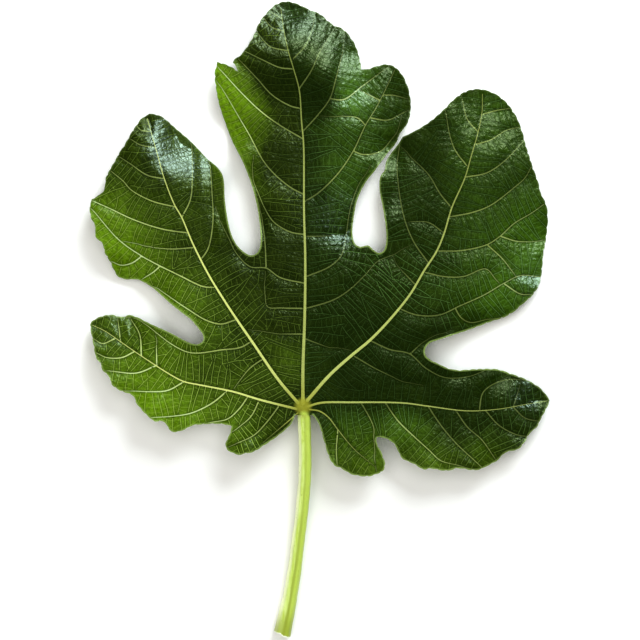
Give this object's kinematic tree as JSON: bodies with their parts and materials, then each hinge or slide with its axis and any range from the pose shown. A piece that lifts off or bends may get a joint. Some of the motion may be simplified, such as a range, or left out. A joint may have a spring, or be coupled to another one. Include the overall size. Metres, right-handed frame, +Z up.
{
  "type": "fig leaf",
  "caption": "Cut fig leaf lying face up, a broad lobed blade with sunken veins above, raised ribs below and a bowed stalk.",
  "frame": {"origin": "centre of the leaf's box at the level of the surface that it lies on", "axes": "+X to the leaf's right, +Y from the stalk towards the tip of the middle lobe, +Z up out of the leaf's upper face"},
  "size_m": [0.1844, 0.2562, 0.0143],
  "materials": {
    "blade": "waxy dark green with pale veins, satin sheen",
    "stalk": "smooth pale yellow-green, satin"
  },
  "bodies": {
    "root": {"blade": "blade", "stalk": "stalk"}
  },
  "joints": []
}
